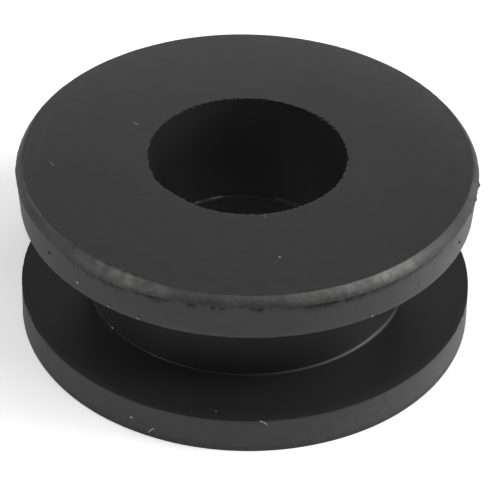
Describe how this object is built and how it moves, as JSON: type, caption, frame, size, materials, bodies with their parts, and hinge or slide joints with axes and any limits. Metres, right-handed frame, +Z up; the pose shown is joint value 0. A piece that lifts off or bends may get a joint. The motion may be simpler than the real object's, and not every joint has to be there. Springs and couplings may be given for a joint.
{
  "type": "exhaust rubber mount",
  "caption": "Black moulded rubber reel with two round flanges, a groove between them that seats in a bracket plate, and a plain through bore for a sleeve or bolt.",
  "frame": {"origin": "centre of the lower face, on the axis of the bore", "axes": "+Z up the bore, from the lower flange to the upper flange with the bevelled shoulder; the reel is round about Z, so X and Y are free"},
  "size_m": [0.0302, 0.0302, 0.0122],
  "materials": {
    "black_rubber": "matt moulded black rubber with torn flash and a light bloom"
  },
  "bodies": {
    "root": {"rubber_mount": "black_rubber"}
  },
  "joints": []
}
